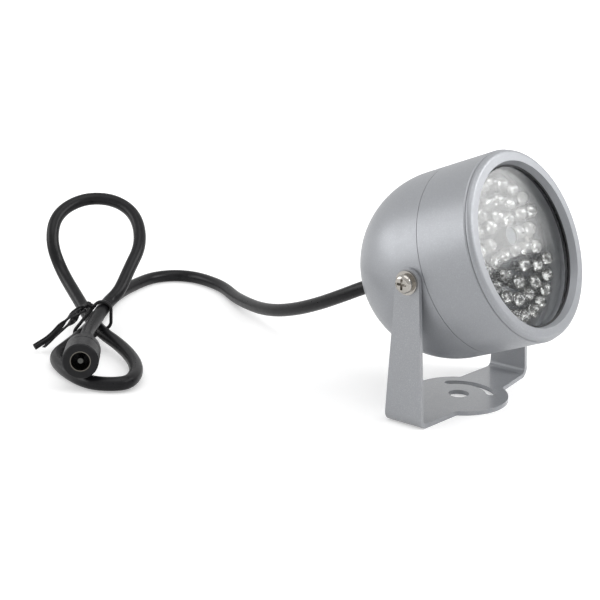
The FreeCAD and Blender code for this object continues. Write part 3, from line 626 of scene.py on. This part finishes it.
def loose_seats(cad_node):
    """Where each separate solid of a node in the lamp stands: its axis at its back."""
    to_lamp = LAMP_FRAME.inverted()
    work = bmesh.new()
    work.from_mesh(cad_node.data)
    bmesh.ops.remove_doubles(work, verts=work.verts, dist=SAME_POINT)
    seen = set()
    seats = []
    for start in work.verts:
        if start in seen:
            continue
        seen.add(start)
        island = [start]
        for vertex in island:
            for edge in vertex.link_edges:
                other = edge.other_vert(vertex)
                if other not in seen:
                    seen.add(other)
                    island.append(other)
        spots = [to_lamp @ vertex.co for vertex in island]
        low = Vector(map(min, *spots))
        high = Vector(map(max, *spots))
        seats.append(LAMP_FRAME @ Matrix.Translation(
            ((low.x + high.x) / 2, (low.y + high.y) / 2, low.z)))
    work.free()
    return seats


def block(seat, low, high):
    """Vertices and faces of a small block between two corners, on a seat."""
    vertices = [seat @ Vector((x, y, z)) for z in (low[2], high[2])
                for y in (low[1], high[1]) for x in (low[0], high[0])]
    faces = [(0, 2, 3, 1), (4, 5, 7, 6), (0, 1, 5, 4), (2, 6, 7, 3), (0, 4, 6, 2), (1, 3, 7, 5)]
    return vertices, faces


class ILLUMINATOR_OT_cord(bpy.types.Operator):
    """Build the cord from the gland to the socket, with a bend a short run out of the gland"""

    bl_idname = "illuminator.cord"
    bl_label = "Cord"

    def execute(self, context):
        sizes = context.scene.illuminator_sizes
        tones = context.scene.illuminator_colours
        leave = PIVOT + LAMP_AXIS * GLAND_REACH * MM
        bend = PIVOT + LAMP_AXIS * (GLAND_REACH - FIRST_RUN) * MM
        route = [leave, bend] + [Vector(point) * MM for point in LEAD_ROUTE + BUNDLE_ROUTE]
        line = spline_points(route, CORD_STEPS)
        cord = tube("cord", line, sizes.cord_diameter / 2, CORD_SIDES)
        assign(cord, plastic("cord_sheath", tones.sheath, (0.27, 0.37), 1500, 0.01, 0.2))
        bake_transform(cord)
        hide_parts("cord_lead", "cord_bundle")
        self.tie(sizes, line)
        return {"FINISHED"}

    def tie(self, sizes, line):
        """The twist tie: a ribbon with a wire in it round the strands, and its twisted ends."""
        coating = plastic("tie_coating", (0.01, 0.01, 0.011), (0.3, 0.42), 2500, 0.012, 0.3)
        width, core = sizes.tie_width, sizes.tie_core
        heading = Vector(TIE_HEADING).normalized()
        across = heading.cross(Vector((0, 0, 1)))
        foot = Vector(TIE_FOOT) * MM
        corners = [Vector(TIE_SLACK) * MM] + strands_at(line, foot, across, TIE_CATCH * MM)
        reach = sizes.cord_diameter / 2 + TIE_GAP * MM + core / 2
        band_line = belt_line(corners, heading, across, reach, core / 2)
        band = ribbon(band_line, width * BAND_WIDTH, core, lambda share: 0.0, across, closed=True)
        root, top = (Vector(end) * MM for end in TIE_KNOT)
        winding = [root.lerp(top, share) + across * width * bow for share, bow in KNOT_WINDING]
        knot_line = spline_points(winding, KNOT_STEPS)
        knot = ribbon(knot_line, width * KNOT_WIDTH, core, lambda share: KNOT_TURN * share, across)
        ends = []
        for route, start in ((LONG_END, LONG_END_TURN), (SHORT_END, SHORT_END_TURN)):
            course = spline_points([Vector(point) * MM for point in route], END_STEPS)
            ends.append(ribbon(course, width, core * END_CORE,
                               lambda share, start=start: start + twist_of_end(share),
                               Vector((0, 0, 1))))
        tie = merge("twist_tie_ribbon", [band, knot] + ends)
        assign(tie, coating)
        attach(tie, "bracket")
        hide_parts("twist_tie")
        return tie


class ILLUMINATOR_OT_housing(bpy.types.Operator):
    """Paint the housing, the bezel and the bracket"""

    bl_idname = "illuminator.housing"
    bl_label = "Housing and bracket"

    def execute(self, context):
        tone = context.scene.illuminator_colours.paint
        paint = metallic_paint("housing_paint", tone, 0.08)
        for name in ("rear_housing", "front_housing", "bezel_ring"):
            assign(NODES[name], paint)
        # Painted shade: the bracket carries the head's own paint made a shade darker, under more
        # lacquer.
        assign(NODES["bracket"], metallic_paint("bracket_paint", shade_of(tone, 0.94), 1.0))
        rubber = plastic("seal_rubber", (0.02, 0.02, 0.022), (0.6, 0.8), 2500, 0.02)
        for name in ("housing_seal", "front_window_seal", "rear_window_seal", "cord_gland"):
            assign(NODES[name], rubber)
        return {"FINISHED"}


class ILLUMINATOR_OT_window(bpy.types.Operator):
    """Glaze the window"""

    bl_idname = "illuminator.window"
    bl_label = "Window"

    def execute(self, context):
        assign(NODES["window_glass"], window_glass())
        return {"FINISHED"}


class ILLUMINATOR_OT_emitters(bpy.types.Operator):
    """Clear emitters with a reflector cup and its leads inside each"""

    bl_idname = "illuminator.emitters"
    bl_label = "Emitters"

    def execute(self, context):
        cup = context.scene.illuminator_sizes.cup_radius
        epoxy = clear_epoxy()
        seats = []
        for name in ("outer_emitters", "middle_emitters", "inner_emitters"):
            assign(NODES[name], epoxy)
            seats += loose_seats(NODES[name])
        profile = [(cup * share, height * MM) for share, height in CUP_WALL]
        parts = []
        for seat in seats:
            parts.append(bowl(seat, profile, CUP_SIDES))
            for low, high in LEADS:
                parts.append(block(seat, Vector(low) * MM, Vector(high) * MM))
        frames = merge("emitter_leads", parts)
        # The cups and leads carry painted glints in their base colour.
        assign(frames, silver_with_painted_glints())
        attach(frames, "head")
        return {"FINISHED"}


class ILLUMINATOR_OT_board(bpy.types.Operator):
    """Finish the board, the light sensor and what is behind them"""

    bl_idname = "illuminator.board"
    bl_label = "Board and inner pieces"

    def execute(self, context):
        tones = context.scene.illuminator_colours
        assign(NODES["emitter_board"],
               plastic("solder_mask", tones.solder_mask, (0.25, 0.45), 900, 0.02))
        black = plastic("moulded_sleeve", (0.02, 0.02, 0.022), (0.4, 0.6), 2000, 0.01)
        for name in ("sensor_sleeve", "cord_stop", "polarity_diode", "switching_transistor"):
            assign(NODES[name], black)
        assign(NODES["light_sensor"],
               plastic("sensor_face", tones.sensor, (0.45, 0.6), 1200, 0.005, 0.2))
        assign(NODES["series_resistors"],
               plastic("resistor_lacquer", (0.12, 0.3, 0.5), (0.2, 0.3), 1800, 0.01))
        assign(NODES["red_wire"],
               plastic("red_insulation", (0.6, 0.02, 0.02), (0.3, 0.4), 1500, 0.01))
        assign(NODES["black_wire"],
               plastic("black_insulation", (0.02, 0.02, 0.02), (0.3, 0.4), 1500, 0.01))
        assign(NODES["cord_inner_end"],
               plastic("cord_inside", tones.sheath, (0.32, 0.46), 1500, 0.01))
        return {"FINISHED"}


class ILLUMINATOR_OT_fasteners(bpy.types.Operator):
    """Plate the screws and washers"""

    bl_idname = "illuminator.fasteners"
    bl_label = "Screws and washers"

    def execute(self, context):
        tone = context.scene.illuminator_colours.plating
        plating = bright_metal("nickel_plating", tone, (0.08, 0.18))
        for name in ("left_tilt_screw", "right_tilt_screw", "left_washer", "right_washer",
                     "left_board_screw", "right_board_screw"):
            assign(NODES[name], plating)
        return {"FINISHED"}


class ILLUMINATOR_OT_socket(bpy.types.Operator):
    """Finish the supply socket"""

    bl_idname = "illuminator.socket"
    bl_label = "Supply socket"

    def execute(self, context):
        tones = context.scene.illuminator_colours
        assign(NODES["socket_body"],
               plastic("socket_moulding", shade_of(tones.sheath, 1.2), (0.36, 0.48), 1800,
                       0.01, 0.22))
        # Painted shade: the contact sleeve lies in the socket's mouth, and its plating is made
        # dark for the shade there.
        assign(NODES["socket_sleeve"],
               bright_metal("contact_plating", (0.16, 0.15, 0.13), (0.25, 0.35)))
        # Painted shade: the pin stands deep in the socket, and its plating is made near black for
        # the shade there.
        assign(NODES["socket_pin"],
               bright_metal("pin_plating", (0.09, 0.09, 0.085), (0.25, 0.35)))
        return {"FINISHED"}


def seen_rays(tree):
    """1 for what the camera or a clear piece shows, less in reflections, 0 for plain light."""
    path = tree.nodes.new("ShaderNodeLightPath")
    dimmed = tree.nodes.new("ShaderNodeMath")
    dimmed.operation = "MULTIPLY"
    tree.links.new(path.outputs["Is Glossy Ray"], dimmed.inputs[0])
    dimmed.inputs[1].default_value = MIRRORED_SHARE
    found = path.outputs["Is Camera Ray"]
    for other in (dimmed.outputs[0], path.outputs["Is Transmission Ray"]):
        either = tree.nodes.new("ShaderNodeMath")
        either.operation = "MAXIMUM"
        tree.links.new(found, either.inputs[0])
        tree.links.new(other, either.inputs[1])
        found = either.outputs[0]
    return found


def area_lamp(name, middle, wide, tall, power):
    """A soft rectangular lamp: its middle, its two sides as vectors, and its power."""
    wide, tall = Vector(wide), Vector(tall)
    light = bpy.data.lights.new(name, "AREA")
    light.shape = "RECTANGLE"
    light.size = wide.length
    light.size_y = tall.length
    light.energy = power
    lamp = bpy.data.objects.new(name, light)
    bpy.context.scene.collection.objects.link(lamp)
    lamp.location = middle
    side = wide.normalized()
    back = side.cross(tall).normalized()
    turn = Matrix((side, back.cross(side), back)).transposed()
    lamp.rotation_euler = turn.to_euler()


class ILLUMINATOR_OT_stage(bpy.types.Operator):
    """Set up the floor, the background, the lamps and the camera"""

    bl_idname = "illuminator.stage"
    bl_label = "Stage"

    def execute(self, context):
        settings = context.scene.illuminator_stage
        scene = context.scene
        scene.view_settings.view_transform = "Standard"
        self.lay_floor(settings.floor_radius)
        self.set_world(scene, settings.sky_level)
        for name, middle, wide, tall, power in LAMPS:
            area_lamp(name, middle, wide, tall, getattr(settings, power))
        self.hang_dark_card()
        self.set_camera(scene, settings)
        return {"FINISHED"}

    def set_camera(self, scene, settings):
        """The camera at the photograph's angle."""
        camera_data = bpy.data.cameras.new("camera")
        camera_data.lens = settings.lens
        camera_data.sensor_width = SENSOR_WIDTH
        camera = bpy.data.objects.new("camera", camera_data)
        scene.collection.objects.link(camera)
        camera.location = settings.camera_place
        turn = Matrix((CAMERA_SIDE, CAMERA_UP, CAMERA_BACK)).transposed()
        camera.rotation_euler = turn.to_euler()
        scene.camera = camera

    def lay_floor(self, radius):
        """A pale round floor that shows white round the object's own shadow."""
        rim = [(radius * math.cos(turn), radius * math.sin(turn), 0)
               for turn in turns(FLOOR_SIDES)]
        floor = add_mesh("floor", rim, [tuple(range(FLOOR_SIDES))])
        material, shader = new_material("floor_white", roughness=0.9, specular_ior_level=0.0,
                                        base_color=(0.8, 0.8, 0.8, 1),
                                        emission_color=WHITE)
        # Further out, where the lamps light it less, the floor glows more. The glow shows only
        # where the floor is seen, in reflections too.
        reach = node(material, "ShaderNodeVectorMath")
        reach.operation = "LENGTH"
        join(material, place(material), reach.inputs[0])
        distances, levels = zip(NEAR_GLOW, FAR_GLOW)
        glow = spread(material, reach.outputs["Value"], distances, levels, "SMOOTHSTEP")
        shown = node(material, "ShaderNodeMath")
        shown.operation = "MULTIPLY"
        join(material, glow, shown.inputs[0])
        join(material, seen_rays(material.node_tree), shown.inputs[1])
        join(material, shown.outputs[0], shader.inputs["Emission Strength"])
        assign(floor, material)

    def hang_dark_card(self):
        """A dark card beside the key lamp, which only reflections show, mainly the window's."""
        card = add_mesh("dark_card", CARD_CORNERS, [(0, 1, 2, 3)])
        material = new_material("card_black", roughness=1.0, specular_ior_level=0.0,
                                base_color=(0.01, 0.01, 0.01, 1))[0]
        assign(card, material)
        card.visible_camera = False
        card.visible_diffuse = False
        card.visible_shadow = False
        card.visible_transmission = False

    def set_world(self, scene, level):
        """White to the camera and in reflections, and a plain level of light on the object."""
        world = bpy.data.worlds.new("studio")
        scene.world = world
        world.use_nodes = True
        nodes = world.node_tree.nodes
        links = world.node_tree.links
        shown = nodes["Background"]
        shown.inputs["Color"].default_value = WHITE
        shown.inputs["Strength"].default_value = 1.0
        lit = nodes.new("ShaderNodeBackground")
        lit.inputs["Color"].default_value = WHITE
        lit.inputs["Strength"].default_value = level
        mix = nodes.new("ShaderNodeMixShader")
        links.new(seen_rays(world.node_tree), mix.inputs[0])
        links.new(lit.outputs[0], mix.inputs[1])
        links.new(shown.outputs[0], mix.inputs[2])
        links.new(mix.outputs[0], nodes["World Output"].inputs["Surface"])


STEPS = (
    ILLUMINATOR_OT_stage,
    ILLUMINATOR_OT_cord,
    ILLUMINATOR_OT_housing,
    ILLUMINATOR_OT_window,
    ILLUMINATOR_OT_emitters,
    ILLUMINATOR_OT_board,
    ILLUMINATOR_OT_fasteners,
    ILLUMINATOR_OT_socket,
)


class ILLUMINATOR_PT_panel(bpy.types.Panel):
    """Settings and steps of the illuminator"""

    bl_label = "Infrared illuminator"
    bl_idname = "ILLUMINATOR_PT_panel"
    bl_space_type = "VIEW_3D"
    bl_region_type = "UI"
    bl_category = "Illuminator"

    def draw(self, context):
        for group in (context.scene.illuminator_sizes, context.scene.illuminator_colours,
                      context.scene.illuminator_stage):
            box = self.layout.box()
            for name in group.bl_rna.properties.keys():
                if name not in ("rna_type", "name"):
                    box.prop(group, name)
        for step in STEPS:
            self.layout.operator(step.bl_idname)


SETTINGS = (
    ("illuminator_sizes", IlluminatorSizes),
    ("illuminator_colours", IlluminatorColours),
    ("illuminator_stage", IlluminatorStage),
)


def register():
    for name, group in SETTINGS:
        bpy.utils.register_class(group)
        setattr(bpy.types.Scene, name, bpy.props.PointerProperty(type=group))
    for step in STEPS:
        bpy.utils.register_class(step)
    bpy.utils.register_class(ILLUMINATOR_PT_panel)


def unregister():
    bpy.utils.unregister_class(ILLUMINATOR_PT_panel)
    for step in reversed(STEPS):
        bpy.utils.unregister_class(step)
    for name, group in reversed(SETTINGS):
        delattr(bpy.types.Scene, name)
        bpy.utils.unregister_class(group)


def main():
    """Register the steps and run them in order."""
    register()
    for step in STEPS:
        group, action = step.bl_idname.split(".")
        getattr(getattr(bpy.ops, group), action)()


if __name__ == "__main__":
    main()
